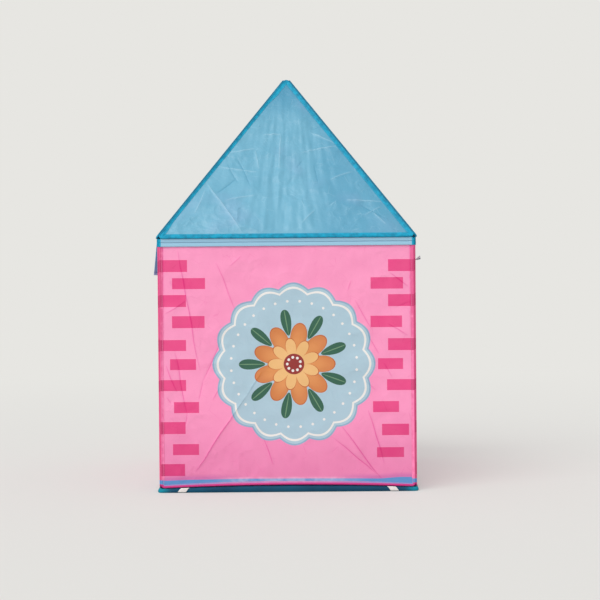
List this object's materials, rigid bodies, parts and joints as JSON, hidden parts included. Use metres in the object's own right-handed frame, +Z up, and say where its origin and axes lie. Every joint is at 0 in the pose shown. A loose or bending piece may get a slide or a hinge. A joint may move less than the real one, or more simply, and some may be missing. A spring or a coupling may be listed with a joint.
{
  "type": "pop-up play tent",
  "caption": "Square cloth play tent that springs open: four hooped brick-print walls, a pyramid roof of hooped triangles, a cloth floor, a curtained door and a window.",
  "frame": {"origin": "on the ground, under the middle of the floor sheet", "axes": "+Z up; the printed front wall faces -Y, the wall with the door faces +X, the wall with the window faces -X"},
  "size_m": [0.78, 0.7622, 1.2497],
  "materials": {
    "pink_brick_cloth": "satin",
    "magenta_binding": "matte",
    "sky_cloth": "satin",
    "teal_binding": "matte",
    "pale_blue_cloth": "satin",
    "floor_cloth": "satin",
    "white_tape": "matte",
    "spring_steel": "satin"
  },
  "bodies": {
    "root": {"floor_sheet": "floor_cloth", "floor_rim": "teal_binding", "floor_hem": "teal_binding", "front_wall_cloth": "pink_brick_cloth", "front_wall_hoop": "spring_steel", "front_wall_ferrule": "spring_steel", "front_wall_sleeve": "magenta_binding", "front_eave_band": "pale_blue_cloth", "front_left_tape": "white_tape", "front_right_tape": "white_tape", "right_front_tape": "white_tape", "right_back_tape": "white_tape", "back_right_tape": "white_tape", "back_left_tape": "white_tape", "left_back_tape": "white_tape", "left_front_tape": "white_tape"},
    "front_roof": {"front_roof_cloth": "sky_cloth", "front_roof_hoop": "spring_steel", "front_roof_ferrule": "spring_steel", "front_roof_sleeve": "teal_binding"},
    "right_wall": {"right_wall_cloth": "pink_brick_cloth", "right_wall_hoop": "spring_steel", "right_wall_ferrule": "spring_steel", "right_wall_sleeve": "magenta_binding", "right_eave_band": "pale_blue_cloth", "door_edging": "magenta_binding", "door_front_tie": "white_tape", "door_back_tie": "white_tape", "seam_tab": "white_tape"},
    "right_roof": {"right_roof_cloth": "sky_cloth", "right_roof_hoop": "spring_steel", "right_roof_ferrule": "spring_steel", "right_roof_sleeve": "teal_binding"},
    "back_wall": {"back_wall_cloth": "pink_brick_cloth", "back_wall_hoop": "spring_steel", "back_wall_ferrule": "spring_steel", "back_wall_sleeve": "magenta_binding", "back_eave_band": "pale_blue_cloth"},
    "back_roof": {"back_roof_cloth": "sky_cloth", "back_roof_hoop": "spring_steel", "back_roof_ferrule": "spring_steel", "back_roof_sleeve": "teal_binding"},
    "left_wall": {"left_wall_cloth": "pink_brick_cloth", "left_wall_hoop": "spring_steel", "left_wall_ferrule": "spring_steel", "left_wall_sleeve": "magenta_binding", "left_eave_band": "pale_blue_cloth", "window_edging": "magenta_binding", "window_valance": "pale_blue_cloth"},
    "left_roof": {"left_roof_cloth": "sky_cloth", "left_roof_hoop": "spring_steel", "left_roof_ferrule": "spring_steel", "left_roof_sleeve": "teal_binding"},
    "door_front_curtain": {"door_front_curtain": "pink_brick_cloth"},
    "door_back_curtain": {"door_back_curtain": "pink_brick_cloth"}
  },
  "joints": [
    {"name": "wall_fold", "type": "hinge", "parent": "root", "child": "right_wall", "pos_m": [0.3707, -0.3707, 0.3], "axis": [0, 0, -1], "range_deg": [0, 86]},
    {"name": "left_wall_fold", "type": "hinge", "parent": "root", "child": "left_wall", "pos_m": [-0.36885, -0.36885, 0.3], "axis": [0, 0, -1], "range_deg": [0, 86]},
    {"name": "back_wall_fold", "type": "hinge", "parent": "right_wall", "child": "back_wall", "pos_m": [0.36885, 0.36885, 0.3], "axis": [0, 0, 1], "range_deg": [0, 86]},
    {"name": "front_roof_fold", "type": "hinge", "parent": "root", "child": "front_roof", "pos_m": [0, -0.3772, 0.74065], "axis": [1, 0, 0], "range_deg": [0, 204.01]},
    {"name": "right_roof_fold", "type": "hinge", "parent": "right_wall", "child": "right_roof", "pos_m": [0.3772, 0, 0.74065], "axis": [0, 1, 0], "range_deg": [0, 204.01]},
    {"name": "back_roof_fold", "type": "hinge", "parent": "back_wall", "child": "back_roof", "pos_m": [0, 0.3772, 0.74065], "axis": [-1, 0, 0], "range_deg": [0, 204.01]},
    {"name": "left_roof_fold", "type": "hinge", "parent": "left_wall", "child": "left_roof", "pos_m": [-0.3772, 0, 0.74065], "axis": [0, -1, 0], "range_deg": [0, 204.01]},
    {"name": "door_front_swing", "type": "hinge", "parent": "right_wall", "child": "door_front_curtain", "pos_m": [0.3741, -0.184, 0.3], "axis": [0, 0, -1], "range_deg": [0, 170]},
    {"name": "door_back_swing", "type": "hinge", "parent": "right_wall", "child": "door_back_curtain", "pos_m": [0.3741, 0.184, 0.3], "axis": [0, 0, 1], "range_deg": [0, 170]}
  ],
  "couplings": [
    {"joint": "left_wall_fold", "follows": "wall_fold", "ratio": 1},
    {"joint": "back_wall_fold", "follows": "wall_fold", "ratio": 1},
    {"joint": "front_roof_fold", "follows": "wall_fold", "ratio": 2.3721},
    {"joint": "right_roof_fold", "follows": "wall_fold", "ratio": 2.3721},
    {"joint": "back_roof_fold", "follows": "wall_fold", "ratio": 2.3721},
    {"joint": "left_roof_fold", "follows": "wall_fold", "ratio": 2.3721}
  ]
}
